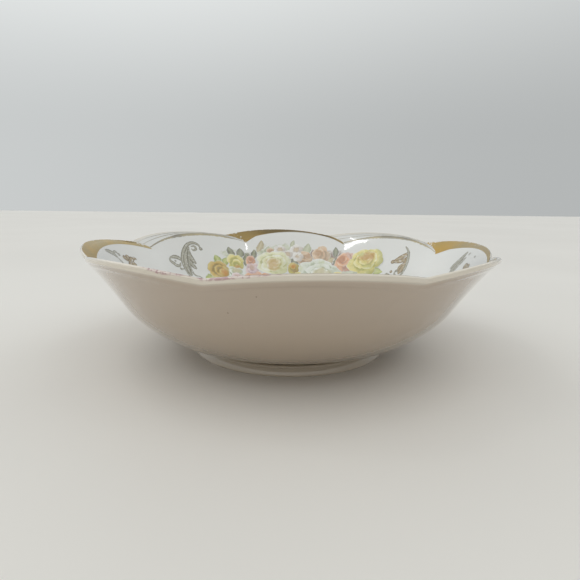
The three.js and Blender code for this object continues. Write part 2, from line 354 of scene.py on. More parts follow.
def porcelain_body():
    """Rings of points from the floor's centre up the inside, over the lip and down the outside."""
    columns = LOBES * STEPS_PER_LOBE
    inside_levels = np.concatenate([
        np.linspace(0.04, 1, 6, endpoint=False),
        np.linspace(1, FLARE_LEVELS[0], 40, endpoint=False),
        FLARE_LEVELS,
    ])
    outside_levels = np.concatenate([np.linspace(0.25, 7, 34, endpoint=False), np.linspace(7, 15.96, 32)])
    points, lip, outside, rubbed = [], [], [], []
    for stations, levels in ((INSIDE, inside_levels), (OUTSIDE, outside_levels)):
        for level in levels:
            swirl = along_stations(stations, level)[4]
            angles = FIRST_NOTCH - swirl + np.arange(columns) * 360 / columns
            ring = wall_point(stations, angles, np.full(columns, level)) * MM
            ring[:, 2] = np.minimum(ring[:, 2], RIM_HEIGHT * MM)
            points.append(ring)
            on_lip = 1 - (LIP_CROWN - level) / 0.7 if stations is INSIDE else 1 - (level - 3) / 1.5
            lip.append(np.full(columns, np.clip(on_lip, 0, 1)))
            beyond = 0.0 if stations is INSIDE else (level - 2.8) / 1.4
            outside.append(np.full(columns, np.clip(beyond, 0, 1)))
            on_crown = max(0.0, 1 - (LIP_CROWN - level) / 0.35 if stations is INSIDE else 1 - level / 2.6)
            most_handled = np.exp(-(((angles - 239) / 3.5) ** 2)) + np.exp(-(((angles - 253) / 7.5) ** 2))
            rubbed.append(on_crown * (0.12 + 0.88 * most_handled))
    rows = len(points)
    points = np.concatenate(points + [np.array([[0, 0, INSIDE[0, 1]], [0, 0, OUTSIDE[-1, 1]]]) * MM])
    faces = [tuple(f) for f in grid_faces(rows, columns, closed=True)]
    floor_centre, under_centre = rows * columns, rows * columns + 1
    last = (rows - 1) * columns
    for i in range(columns):
        following = (i + 1) % columns
        faces.append((floor_centre, following, i))
        faces.append((last + i, last + following, under_centre))
    faces = [tuple(reversed(f)) for f in faces]
    numbers = {
        "lip": np.concatenate(lip + [[0.0, 0.0]]),
        "outside": np.concatenate(outside + [[0.0, 1.0]]),
        "rubbed": np.concatenate(rubbed + [[0.0, 0.0]]),
    }
    return make_piece("body", points, faces, numbers, glazed_porcelain())


stand_for(porcelain_body(), "glazed_porcelain", "bowl_body")

# ------------------------------------------------------------
# The foot ring
# A turned ring joined to the body in the clay, with a thin bead under the wall. It is glazed like the
# body, but its tread is wiped bare so that the bowl doesn't stick in the kiln, and has picked up grime.
# ------------------------------------------------------------
FOOT_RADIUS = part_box("foot_ring")[1].x / MM
FOOT_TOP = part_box("foot_ring")[1].z / MM
FOOT_SECTION = np.array([
    (57.6, 0.35),
    (58.1, 0.0),
    (FOOT_RADIUS - 1.0, 0.0),
    (FOOT_RADIUS - 0.25, 0.25),
    (FOOT_RADIUS - 0.02, 0.9),
    (FOOT_RADIUS - 0.5, 2.1),
    (FOOT_RADIUS - 1.3, 3.6),
    (FOOT_RADIUS - 2.1, FOOT_TOP - 1.25),
    (FOOT_RADIUS - 1.95, FOOT_TOP - 0.95),
    (FOOT_RADIUS - 1.75, FOOT_TOP - 0.7),
    (FOOT_RADIUS - 1.95, FOOT_TOP - 0.4),
    (FOOT_RADIUS - 2.4, FOOT_TOP - 0.1),
    (FOOT_RADIUS - 2.5, FOOT_TOP),
    (56.4, FOOT_TOP),
    (56.5, 4.0),
    (56.9, 1.6),
    (57.6, 0.35),
])


def foot_porcelain():
    """Glazed porcelain whose tread is bare, greyer and rubbed."""
    material, tree, shader = new_material("foot porcelain", 0.2)
    glaze = place_group(tree, glaze_ripple, specks=0.6)
    bare = ramp_between(tree, painted(tree, "tread"), 0.35, 0.6)
    grime = ramp_between(tree, noise(tree, 260, 6.0), 0.45, 0.75)
    biscuit = blend_colour(tree, grime, (0.70, 0.67, 0.61), (0.36, 0.32, 0.27))
    colour = blend_colour(tree, bare, (0.66, 0.585, 0.47), biscuit)
    tree.links.new(colour, shader.inputs["Base Color"])
    rough = maths(tree, "MULTIPLY_ADD", bare, 0.6, glaze.outputs["Roughness"])
    tree.links.new(rough, shader.inputs["Roughness"])
    tree.links.new(maths(tree, "SUBTRACT", 1.0, bare), shader.inputs["Coat Weight"])
    bump(tree, shader, glaze.outputs["Height"], 0.12, 0.0004)
    return material


def foot():
    """The section turned round the axis, with its corners eased by extra points."""
    columns = 360
    fine = along_stations(FOOT_SECTION, np.linspace(0, len(FOOT_SECTION) - 1, 97))
    fine[:, 1] = np.clip(fine[:, 1], 0, FOOT_TOP)
    fine[:, 0] = np.minimum(fine[:, 0], FOOT_RADIUS)
    turn = np.radians(np.arange(columns) * 360 / columns)
    rings = [np.stack([r * np.cos(turn), r * np.sin(turn), 0 * turn + z], -1) for r, z in fine[:-1]]
    rings = np.array(rings) * MM
    rows = len(rings)
    faces = grid_faces(rows, columns, closed=True)
    wrap = grid_faces(2, columns, closed=True)
    last = (rows - 1) * columns
    wrap = np.where(wrap < columns, wrap + last, wrap - columns)
    tread = np.clip(1 - fine[:-1, 1] / 0.5, 0, 1)
    numbers = {"tread": np.repeat(tread, columns)}
    return make_piece("foot", rings.reshape(-1, 3), np.vstack([faces, wrap]), numbers, foot_porcelain())


stand_for(foot(), "foot_porcelain", "foot_ring")

# ------------------------------------------------------------
# The gilt panels
# Liquid gold brushed over four of the flares, from the well's edge to the lip, then fired and
# burnished. It shows fine brush marks and warm and cool patches, and is rubbed thin along the lip.
# ------------------------------------------------------------


def rubbed_gold_group():
    """Gold worn by handling: where it is bare, how it varies, and its brush marks."""
    tree, given, out = new_group(
        "rubbed gold",
        [("Wear", 0.5), ("Brink", 0.0)],
        [("Bare", "NodeSocketFloat"), ("Patch", "NodeSocketFloat"), ("Height", "NodeSocketFloat")],
    )
    grain = noise(tree, 620, 6.0)
    scuffs = maths(tree, "MULTIPLY_ADD", noise(tree, 48, 3.0), 0.9, grain)
    worn = product(tree, given.outputs["Brink"], given.outputs["Wear"])
    worn = maths(tree, "MULTIPLY_ADD", worn, 0.5, scuffs)
    spots = maths(tree, "MULTIPLY_ADD", given.outputs["Wear"], -0.06, 1.24)
    bare = maths(tree, "MULTIPLY", maths(tree, "SUBTRACT", worn, spots), 9.0, clamp=True)
    tree.links.new(bare, out.inputs["Bare"])
    tree.links.new(ramp_between(tree, noise(tree, 75, 4.0), 0.32, 0.68), out.inputs["Patch"])
    tree.links.new(noise(tree, 1500, 3.0), out.inputs["Height"])
    return tree


rubbed_gold = rubbed_gold_group()


def streaks(tree, around, across):
    """Coordinates stretched along the brush's path, from the mesh's own along and across."""
    combined = add_node(tree, "CombineXYZ")
    feed(tree, combined.inputs["X"], product(tree, painted(tree, "along"), around))
    feed(tree, combined.inputs["Y"], product(tree, painted(tree, "across"), across))
    return combined.outputs["Vector"]


def burnished_gold():
    material, tree, shader = new_material("burnished gold", 0.3, coat=0.0)
    brink = painted(tree, "brink")
    gold = place_group(tree, rubbed_gold, wear=0.55, brink=brink)
    strokes = noise(tree, 26, 4.0, streaks(tree, 3.5, 6.0))
    thin = blend_colour(tree, gold.outputs["Patch"], (0.52, 0.43, 0.25), (0.62, 0.46, 0.21))
    thick = blend_colour(tree, gold.outputs["Patch"], (0.52, 0.36, 0.11), (0.62, 0.38, 0.07))
    tone = blend_colour(tree, ramp_between(tree, painted(tree, "along"), 0.55, 0.95), thin, thick)
    # Painted shade: the panel's darkening number pulls the gold towards dark brown to stand for a dim
    # reflection, most on the back panel.
    tone = blend_colour(tree, product(tree, painted(tree, "painted_dimming"), 0.75), tone, (0.21, 0.15, 0.065))
    tone = blend_colour(tree, ramp_between(tree, strokes, 0.35, 0.7, 0.0, 0.6), tone, (0.34, 0.27, 0.15))
    colour = blend_colour(tree, gold.outputs["Bare"], tone, GLAZED_WHITE)
    tree.links.new(colour, shader.inputs["Base Color"])
    metal = maths(tree, "MULTIPLY_ADD", gold.outputs["Bare"], -0.85, 0.85)
    tree.links.new(metal, shader.inputs["Metallic"])
    rough = maths(tree, "MULTIPLY_ADD", strokes, 0.22, 0.22)
    tree.links.new(rough, shader.inputs["Roughness"])
    height = maths(tree, "MULTIPLY_ADD", strokes, 1.6, gold.outputs["Height"])
    bump(tree, shader, height, 0.35, 0.00012)
    return material


GOLD_LIFT = 0.05


def flare_places(lobe, along, across):
    """Angles and stations on a lobe's flare: across runs from the well's edge to the lip's crown."""
    level = WELL_EDGE + across * (LIP_CROWN - WELL_EDGE)
    swirl = along_stations(INSIDE, level)[..., 4]
    return FIRST_NOTCH - swirl + LOBE_DEGREES * (lobe + along), level


def gilded_panel(name, lobe, rise, painted_dimming, material):
    """The gold follows the body's own columns; rise is how far its lower edge bows up off the well's,
    and the last number is how far painted shade darkens the gold, standing for a dim reflection."""
    levels = (FLARE_LEVELS - WELL_EDGE) / (LIP_CROWN - WELL_EDGE)
    rows, columns = len(levels), STEPS_PER_LOBE + 1
    across, along = np.meshgrid(levels, np.linspace(0, 1, columns), indexing="ij")
    bow = rise * np.clip(np.minimum(along * 7, (1 - along) * 7), 0, 1)
    across = bow + (1 - bow) * across
    angle, level = flare_places(lobe, along, across)
    toward_lip = np.clip((across - 0.55) / 0.45, 0, 1) ** 1.5
    toward_ends = np.clip(1 - np.minimum(along, 1 - along) * 9, 0, 1) * 0.6
    brink = np.maximum(toward_lip, toward_ends)
    numbers = {"along": along, "across": across, "brink": brink, "painted_dimming": np.full(angle.shape, painted_dimming)}
    points = in_the_well(angle, level, np.full(angle.shape, GOLD_LIFT)).reshape(-1, 3)
    points[:, 2] = np.minimum(points[:, 2], RIM_HEIGHT * MM)
    return make_piece("gilding_" + name, points, grid_faces(rows, columns)[:, ::-1], numbers, material)


gold = burnished_gold()
# Each panel: name, lobe, how far its lower edge rises, and how much painted shade darkens its gold.
for name, lobe, rise, painted_dimming in (
    ("back", 1, 0.2, 1.0),
    ("left", 3, 0.0, 0.0),
    ("front", 5, 0.1, 0.3),
    ("right", 7, 0.12, 0.3),
):
    stand_for(gilded_panel(name, lobe, rise, painted_dimming, gold), "gilding", "gilt_panel_" + name)

# ------------------------------------------------------------
# The gilt lines
# On the four white flares a liner's brush drew three lines of thin gold from notch to notch, fanned at
# the wide end and drawn together at the narrow one. They stand slightly proud and are rubbed to grey.
# ------------------------------------------------------------


def rubbed_line_gold():
    material, tree, shader = new_material("rubbed line gold", 0.35, coat=0.3)
    gold = place_group(tree, rubbed_gold, wear=0.8, brink=painted(tree, "brink"))
    tone = blend_colour(tree, gold.outputs["Patch"], (0.33, 0.31, 0.26), (0.50, 0.43, 0.28))
    colour = blend_colour(tree, gold.outputs["Bare"], tone, GLAZED_WHITE)
    tree.links.new(colour, shader.inputs["Base Color"])
    metal = maths(tree, "MULTIPLY_ADD", gold.outputs["Bare"], -0.6, 0.6)
    tree.links.new(metal, shader.inputs["Metallic"])
    bump(tree, shader, gold.outputs["Height"], 0.3, 0.0001)
    return material


# Each line: its place across the flare at the narrow end and at the wide end, and its width in mm.
GILT_LINES = {"inner": (0.08, 0.08, 1.5), "middle": (0.27, 0.42, 0.6), "outer": (0.44, 0.74, 0.6)}
FLARE_WIDTH = 6.5


def gilt_line(name, lobe, narrow_end, wide_end, width, material):
    rows, columns = 7, 260
    side, along = np.meshgrid(np.linspace(-1, 1, rows), np.linspace(0.006, 0.994, columns), indexing="ij")
    fan = narrow_end + (wide_end - narrow_end) * along**1.3
    taper = np.clip(np.minimum(along * 5, (1 - along) * 2.8), 0.3, 1)
    across = fan + side * width / 2 / FLARE_WIDTH * taper
    angle, level = flare_places(lobe, along, across)
    lift = 0.03 + 0.07 * (1 - side**2)
    numbers = {"along": along, "across": side, "brink": np.abs(side) ** 3}
    points = in_the_well(angle, level, lift).reshape(-1, 3)
    return make_piece("gilt_line_fine_" + name, points, grid_faces(rows, columns)[:, ::-1], numbers, material)


line_gold = rubbed_line_gold()
for name, lobe in (("back_right", 0), ("back_left", 2), ("front_left", 4), ("front_right", 6)):
    for line, (narrow_end, wide_end, width) in GILT_LINES.items():
        piece = gilt_line(f"{name}_{line}", lobe, narrow_end, wide_end, width, line_gold)
        stand_for(piece, "gilt_lines", f"gilt_line_{name}_{line}")

# ------------------------------------------------------------
# The leaf scrolls
# Small printed transfers in thin grey gold and bronze, one on each lobe's wall except the back one,
# fired into the glaze. Most are an acanthus leaf that curls over; the side lobes have a leafy sprig
# with a bronze blossom, and the lobe to the right of the roses has a crescent leaf.
# ------------------------------------------------------------
DISTANCE_LEVELS = np.linspace(0, LIP_CROWN, 1101)
SECTION_LINE = along_stations(INSIDE, DISTANCE_LEVELS)[:, :2]
TRAVELLED = np.concatenate([[0], np.cumsum(np.hypot(*np.diff(SECTION_LINE, axis=0).T))])


def on_the_wall(angle, distance, right, up, lift):
    """Points for marks laid flat in mm round a place: an angle, and a distance from the floor's centre
    along the inside section. right is to the right of a person facing the wall from the centre."""
    level = np.interp(distance + up, TRAVELLED, DISTANCE_LEVELS)
    radius = np.interp(distance + up * 0.5, TRAVELLED, SECTION_LINE[:, 0])
    return in_the_well(angle - np.degrees(right / radius), level, np.broadcast_to(lift, np.shape(right)))


def brush_stroke(path, width):
    """A tapered stroke along a smooth path through a few points: right, up, along and side."""
    count, rows = 36, 7
    path = np.asarray(path, float)
    spine = along_stations(path, np.linspace(0, len(path) - 1, count))
    direction = np.gradient(spine, axis=0)
    direction /= np.linalg.norm(direction, axis=1, keepdims=True) + 1e-9
    side, along = np.meshgrid(np.linspace(-1, 1, rows), np.linspace(0, 1, count), indexing="ij")
    half = width / 2 * np.sin(np.pi * np.clip(along * 0.88 + 0.07, 0, 1)) ** 0.7
    right = spine[:, 0] - direction[:, 1] * side * half
    up = spine[:, 1] + direction[:, 0] * side * half
    return right, up, along, side


def ink_dot(right, up, size):
    rows, columns = 5, 15
    reach, turn = np.meshgrid(np.linspace(1, 0.05, rows), np.linspace(0, 2 * np.pi, columns), indexing="ij")
    return right + size * reach * np.cos(turn), up + size * reach * np.sin(turn), reach, reach


def print_metal(name, pale, dark, shine):
    """Thin printed metal: dark outlines round a paler body, streaked along each stroke, with skips."""
    material, tree, shader = new_material(name, 0.28, coat=0.8, coat_roughness=0.06)
    flank = maths(tree, "ABSOLUTE", painted(tree, "side"))
    ink = blend_colour(tree, ramp_between(tree, flank, 0.25, 0.9), pale, dark)
    streak = noise(tree, 7, 3.0, streaks(tree, 5.0, 1.6))
    ink = blend_colour(tree, product(tree, ramp_between(tree, streak, 0.45, 0.6), 0.55), ink, dark)
    skips = ramp_between(tree, noise(tree, 700, 4.0), 0.56, 0.68)
    ink = blend_colour(tree, product(tree, skips, 0.6), ink, GLAZED_WHITE)
    tree.links.new(ink, shader.inputs["Base Color"])
    tree.links.new(maths(tree, "MULTIPLY_ADD", skips, -shine, shine), shader.inputs["Metallic"])
    bump(tree, shader, noise(tree, 1400, 3.0), 0.2, 0.0001)
    return material


def printed_marks(name, angle, distance, hand, marks, material, order=0):
    """Strokes and dots laid on the wall as one mesh, each a hair above the one before."""
    points, faces, along_numbers, side_numbers, start = [], [], [], [], 0
    for position, (right, up, along, side) in enumerate(marks):
        placed = on_the_wall(angle, distance, hand * right, up, 0.04 + 0.006 * (order + position))
        quads = grid_faces(*right.shape, start)
        points.append(placed.reshape(-1, 3))
        faces.append(quads[:, ::-1] if hand > 0 else quads)
        along_numbers.append(along.ravel() + position)
        side_numbers.append(side.ravel())
        start += right.size
    numbers = {"along": np.concatenate(along_numbers), "across": np.concatenate(side_numbers)}
    numbers["side"] = numbers["across"]
    return make_piece(name, np.vstack(points), np.vstack(faces), numbers, material)


# Each motif: strokes as a path in mm (right, up) and a width, then dots as a place and a size.
ACANTHUS = [
    ([(-6, -12.6), (-7.2, -6), (-6.8, 0), (-4.6, 6), (-1.2, 11.5), (2.6, 14.4)], 5.8),
    ([(-2.2, 2.5), (-1.2, -3), (1.6, -7.4)], 4.0),
    ([(1.2, 11), (0, 6), (0.8, 1.6), (2.8, -2.8)], 4.6),
    ([(-9.4, 1.8), (-12, 5.6), (-16, 7.8), (-20.6, 8.2)], 3.8),
    ([(-20.8, 8.6), (-21.4, 5), (-19.2, 1.8), (-17.2, -0.8), (-14.2, -1.6), (-12.2, 0.8)], 3.0),
    ([(-14.6, -1.8), (-14.2, -4.8), (-10.8, -5.2)], 1.6),
    (
        [(-8.6, -12.4), (-9.6, -6), (-9.8, 0), (-7, 6.8), (-2.6, 12.2), (2.2, 16), (7.4, 17), (11.6, 14.8),
         (12.8, 11)],
        3.4,
    ),
    ([(2.6, 13.4), (0.4, 8.6), (-1.6, 4), (-3.4, -1.4), (-4.2, -7), (-2.6, -12.4), (1.4, -14.4)], 1.9),
    ([(4.4, 13.8), (7.8, 13.6), (8.4, 10.9), (5.6, 9.9), (4.2, 11.6)], 2.0),
    ([(-8, -12), (-11, -17), (-16, -19)], 2.4),
    ([(1, -14), (4.2, -18.6), (2.4, -23), (-2.2, -23.6), (-3.2, -20.4), (-0.6, -19)], 1.8),
]
ACANTHUS_DOTS = [(12.8, 10.6, 1.6), (-16.6, 3.6, 1.0), (-0.8, -19.4, 1.1)]
SPRIG = [
    ([(-9.6, 20.4), (-6, 18.6), (-2, 16), (0.2, 12)], 3.6),
    ([(-1.6, 16.6), (1.8, 17.2), (3.8, 14.6)], 1.8),
    ([(0, 12.6), (2, 6), (2, -1), (-1.4, -8), (-6.5, -13)], 2.2),
    ([(1.4, 4), (-4, 5.4), (-10.6, 10.2)], 3.4),
    ([(2, 0.4), (8, -4), (14.6, -5)], 3.4),
    ([(-1, -7), (-7.6, -6.4), (-13.4, -2)], 3.0),
    ([(1.6, 2), (6, 3), (10, 6)], 1.6),
    ([(-6.4, -12.8), (-11, -14.6), (-12.6, -10.6), (-9.4, -9.2)], 1.8),
    ([(-4, -10.6), (0.6, -14), (6, -14)], 2.6),
]
SPRIG_DOTS = [(3.9, 14.4, 1.2), (-9.3, -9.4, 1.2)]
SPRIG_UPRIGHT = [
    ([(-11.2, 3), (-11.2, 12), (-9.2, 21.4)], 4.8),
    ([(-14.4, 6), (-13.4, 10), (-11.6, 16)], 3.0),
    ([(-9, 4), (-8.4, 11), (-6, 17)], 3.4),
    ([(-5.4, 18.6), (-4.9, 21)], 1.6),
    ([(-12, 5), (-8, -1), (-2, -7), (1, -14)], 2.2),
    ([(-7, -2), (-12, -3), (-16, -8)], 3.2),
    ([(-3, -6), (3, -5), (8, -9)], 3.2),
    ([(1, -14), (-2, -18), (-6.6, -17), (-5.6, -13.6)], 1.8),
]
SPRIG_UPRIGHT_DOTS = [(4.6, 19, 0.8), (-5.6, -13.8, 1.2)]
SPRIG_BLOSSOM = [
    ([(11, 7.5), (8.6, 10.6), (6.4, 11.4)], 4.2),
    ([(11, 7.5), (12, 11), (12.4, 13)], 4.4),
    ([(11, 7.5), (14.6, 9), (17, 10.2)], 4.4),
    ([(11, 7.5), (13.6, 4.6), (15, 2.6)], 4.4),
    ([(11, 7.5), (9, 4.4), (7, 3.2)], 4.2),
    ([(15.6, 8.6), (18, 9.6), (20, 8.4)], 2.6),
]
SPRIG_BLOSSOM_DOTS = [(11.2, 7.6, 1.9)]
CRESCENT = [
    ([(-4, 16.4), (0, 13.6), (3, 9.5), (5.4, 3.3), (6.4, -4.3), (5.2, -9.5), (2, -12.6)], 2.6),
    ([(4.6, -9.4), (1.4, -11), (-1.8, -9.4), (-1.2, -6.2), (1, -7.4)], 1.5),
    ([(2.4, -12), (-1.6, -16), (-7, -16.4)], 2.2),
    ([(-7, -16.2), (-10.6, -14), (-9.6, -10.6), (-7, -11.8)], 1.5),
]
CRESCENT_DOTS = [(-1.2, -6.6, 1.2), (-7.2, -11.4, 1.1)]
CRESCENT_BRONZE = [
    ([(2.6, 12.5), (-1.5, 7.8), (-5.5, 3.4), (-8.8, 0.6)], 4.2),
    ([(3.6, 8), (0.5, 4), (-4, 1.8), (-8.6, 0.4)], 3.8),
    ([(3, 10), (4, 3), (3.4, -4), (1.8, -9)], 5.4),
    ([(2, 1), (0.2, -3), (0.6, -7)], 2.6),
]
CRESCENT_BRONZE_DOTS = [(-8.8, 0.6, 1.9), (-6.1, -8.2, 1.3)]

grey_gold = print_metal("grey gold print", (0.49, 0.47, 0.385), (0.20, 0.19, 0.145), 0.25)
bronze = print_metal("bronze print", (0.47, 0.38, 0.24), (0.22, 0.155, 0.08), 0.3)


def motif(strokes, dots):
    return [brush_stroke(*stroke) for stroke in strokes] + [ink_dot(*dot) for dot in dots]


def scroll(name, lobe, angle, distance, hand, marks, material, order=0):
    """A scroll's marks on the wall of the named lobe; hand is -1 for a mirrored one."""
    piece = printed_marks(name + lobe, angle, distance, hand, marks, material, order)
    stand_for(piece, "scroll_transfer", "leaf_scroll_" + lobe)


for lobe, angle, hand in (
    ("back_left", 132.7, 1),
    ("front_left", 217.2, 1),
    ("front", 262.2, 1),
    ("front_right", 307.2, -1),
):
    scroll("scroll_", lobe, angle, 120, hand, motif(ACANTHUS, ACANTHUS_DOTS), grey_gold)
for lobe, angle, blossom_angle, sprig in (
    ("left", 172.2, 172.2, motif(SPRIG, SPRIG_DOTS)),
    ("right", 352.2, 355.8, motif(SPRIG_UPRIGHT, SPRIG_UPRIGHT_DOTS)),
):
    scroll("sprig_", lobe, angle, 121, 1, sprig, grey_gold)
    blossom_marks = motif(SPRIG_BLOSSOM, SPRIG_BLOSSOM_DOTS)
    scroll("sprig_blossom_", lobe, blossom_angle, 121.5, 1, blossom_marks, bronze, 12)
bronze_marks = motif(CRESCENT_BRONZE, CRESCENT_BRONZE_DOTS)
scroll("crescent_bronze_", "back_right", 28.5, 122, 1, bronze_marks, bronze)
scroll("crescent_", "back_right", 28.5, 122, 1, motif(CRESCENT, CRESCENT_DOTS), grey_gold, 6)

# ------------------------------------------------------------
# The rose spray
# A large printed transfer of roses, buds, small blossoms and leaves in soft washes of colour, laid on
# the back of the well and fired on. Each bloom here is built petal by petal: every petal is pale at its
# edge, deeper where it tucks under the next, and mottled like a watercolour wash.
# ------------------------------------------------------------


def wash_group():
    """A watercolour wash: pigment gathers in soft clouds and fine grains, and thins at the brink."""
    tree, given, out = new_group(
        "watercolour wash",
        [("Colour", (0.8, 0.7, 0.5)), ("Pigment", 0.3), ("Brink", 0.0)],
        [("Wash", "NodeSocketColor")],
    )
    clouds = ramp_between(tree, noise(tree, 210, 4.0), 0.35, 0.65)
    grains = ramp_between(tree, noise(tree, 1700, 2.0), 0.35, 0.65)
    amount = maths(tree, "MULTIPLY_ADD", grains, 0.35, product(tree, clouds, 0.65))
    thinned = product(tree, amount, given.outputs["Pigment"])
    thin = blend_colour(tree, thinned, given.outputs["Colour"], GLAZED_WHITE)
    fray = maths(tree, "SUBTRACT", noise(tree, 480, 3.0), 0.5)
    ragged = maths(tree, "MULTIPLY_ADD", fray, 1.4, given.outputs["Brink"])
    soft = blend_colour(tree, ramp_between(tree, ragged, 0.2, 0.95), thin, GLAZED_WHITE)
    tree.links.new(soft, out.inputs["Wash"])
    return tree


watercolour_wash = wash_group()


def wash_material(name):
    return new_material(name, 0.25, coat=1.0, coat_roughness=0.05)


def wash_over(tree, shader, colour, pigment):
    """Lays the wash over a mark's colour, under glaze with a faint grain."""
    wash = place_group(tree, watercolour_wash, colour=colour, pigment=pigment, brink=painted(tree, "brink"))
    tree.links.new(wash.outputs["Wash"], shader.inputs["Base Color"])
    bump(tree, shader, noise(tree, 900, 2.0), 0.1, 0.0001)


def petal_grain(tree):
    """Coordinates that run out along each petal, so that its veins fan from the heart."""
    combined = add_node(tree, "CombineXYZ")
    feed(tree, combined.inputs["X"], product(tree, painted(tree, "around"), 2.2))
    feed(tree, combined.inputs["Y"], product(tree, painted(tree, "tuck"), 0.3))
    feed(tree, combined.inputs["Z"], painted(tree, "petal"))
    return combined.outputs["Vector"]


def petal_material(name, edge, body, fold, heart, blush):
    """A bloom's petals: pale at the edge, deeper in the body and the folds, and deepest at the heart."""
    material, tree, shader = wash_material(name)
    cloud = maths(tree, "SUBTRACT", noise(tree, 160, 3.0), 0.5)
    loose = maths(tree, "MULTIPLY_ADD", cloud, 1.3, painted(tree, "tuck"))
    colour = blend_colour(tree, ramp_between(tree, loose, 0.0, 0.6), edge, body)
    drift = ramp_between(tree, noise(tree, 85, 2.0), 0.46, 0.60)
    colour = blend_colour(tree, product(tree, drift, 0.75), colour, blush)
    petal = ramp_between(tree, painted(tree, "petal"), 0.45, 0.9)
    colour = blend_colour(tree, product(tree, petal, 0.5), colour, body)
    veins = ramp_between(tree, noise(tree, 9, 3.0, petal_grain(tree)), 0.45, 0.75)
    colour = blend_colour(tree, product(tree, veins, 0.3), colour, fold)
    shade = ramp_between(tree, maths(tree, "MULTIPLY_ADD", cloud, 0.8, painted(tree, "shade")), 0.45, 1.0)
    colour = blend_colour(tree, product(tree, shade, 0.7), colour, fold)
    deep = ramp_between(tree, loose, 0.60, 0.95)
    colour = blend_colour(tree, product(tree, deep, 0.88), colour, fold)
    inner = ramp_between(tree, maths(tree, "MULTIPLY_ADD", cloud, 0.8, painted(tree, "heart")), 0.50, 0.78)
    colour = blend_colour(tree, product(tree, inner, 0.8), colour, heart)
    wash_over(tree, shader, colour, 0.12)
    return material


def spray_lift(order):
    """Later marks lie a hair above earlier ones."""
    return 0.03 + 0.008 * order


def blot_material(name, pale, deep):
    """A loose wash of two colours run together."""
    material, tree, shader = wash_material(name)
    colour = blend_colour(tree, ramp_between(tree, noise(tree, 150, 4.0), 0.40, 0.60), pale, deep)
    wash_over(tree, shader, colour, 0.2)
    return material


def blot(name, angle, distance, width, height, order, material):
    """A blot of wash behind the blooms, fading out at its edge."""
    rows, columns = 26, 90
    out, turn = np.meshgrid(np.linspace(0.01, 1, rows), np.linspace(0, 2 * np.pi, columns), indexing="ij")
    ragged = 1 + 0.10 * np.sin(3 * turn + angle) + 0.07 * np.sin(5 * turn + distance)
    x, y = out * ragged * np.cos(turn) * width / 2, out * ragged * np.sin(turn) * height / 2
    points = on_the_wall(angle, distance, x, y, spray_lift(order)).reshape(-1, 3)
    numbers = {"brink": np.clip((out - 0.45) / 0.55, 0, 1)}
    return make_piece(name, points, grid_faces(rows, columns)[:, ::-1], numbers, material)


def bloom(name, angle, distance, width, height, lean, rows_of_petals, order, material, seed):
    """A rose. lean moves its heart off centre; rows_of_petals lists each row's reach and petal count
    from the heart outward. Where rows overlap the inner one lies on top."""
    chance = np.random.default_rng(seed)
    reaches = np.array([reach for reach, _ in rows_of_petals])
    counts = [count for _, count in rows_of_petals]
    turns = chance.uniform(0, 2 * np.pi, len(counts))
    tones = [chance.uniform(0, 1, count + 1) for count in counts]
    spans = [chance.uniform(-1, 1, count + 1) for count in counts]
    drift = chance.uniform(-0.07, 0.07, (len(counts), 2))
    lean = np.array(lean)

    def share_of_row(row, turn):
        uneven = turn + 0.22 * np.sin(turn + 2 * turns[row]) + 0.12 * np.sin(2 * turn + turns[row])
        return ((uneven - turns[row]) / (2 * np.pi) * counts[row]) % counts[row]

    def petal_reach(row, turn):
        share = share_of_row(row, turn)
        swell = np.sin(np.pi * (share % 1.0)) ** 0.5
        span = spans[row][np.floor(share).astype(int)] * swell
        ragged = 0.025 * np.sin(7 * turn + turns[row]) + 0.015 * np.sin(13 * turn)
        return reaches[row] * (0.76 + 0.22 * swell + 0.07 * span + ragged)

    steps_out, steps_round = 84, 220
    reach, round_turn = np.linspace(0.004, 1, steps_out), np.linspace(0, 2 * np.pi, steps_round)
    out, turn = np.meshgrid(reach, round_turn, indexing="ij")
    outer = petal_reach(len(counts) - 1, turn)
    x, y = out * outer * np.cos(turn), out * outer * np.sin(turn)
    tuck, petal, around = np.zeros_like(x), np.zeros_like(x), np.zeros_like(x)
    unset = np.ones_like(x, bool)
    for row, row_reach in enumerate(reaches):
        centre = (lean + drift[row]) * (1 - row_reach)
        away = np.hypot(x - centre[0], y - centre[1])
        own_turn = np.arctan2(y - centre[1], x - centre[0])
        edge = petal_reach(row, own_turn)
        in_row = unset & ((away <= edge) | (row == len(reaches) - 1))
        inner = reaches[row - 1] * 0.82 if row else 0.0
        depth = np.clip((edge - away) / (edge - inner + 0.02), 0, 1)
        share = share_of_row(row, own_turn)
        seam = 1 - np.clip(np.minimum(share % 1.0, 1 - share % 1.0) * 5, 0, 1)
        tuck = np.where(in_row, np.clip(depth + 0.35 * seam, 0, 1), tuck)
        petal = np.where(in_row, tones[row][np.floor(share).astype(int)], petal)
        around = np.where(in_row, share, around)
        unset &= ~in_row
    numbers = {
        "tuck": tuck,
        "petal": petal,
        "around": around,
        "heart": np.clip(1 - np.hypot(x - lean[0], y - lean[1]), 0, 1),
        "shade": np.clip(0.45 + 0.5 * x - 0.25 * y, 0, 1),
        "brink": np.clip((out - 0.95) / 0.05, 0, 1),
    }
    lift = spray_lift(order) + 0.02 * (1 - out**2)
    points = on_the_wall(angle, distance, x * width / 2, y * height / 2, lift).reshape(-1, 3)
    faces = grid_faces(steps_out, steps_round)[:, ::-1]
    return make_piece(name, points, faces, numbers, material)


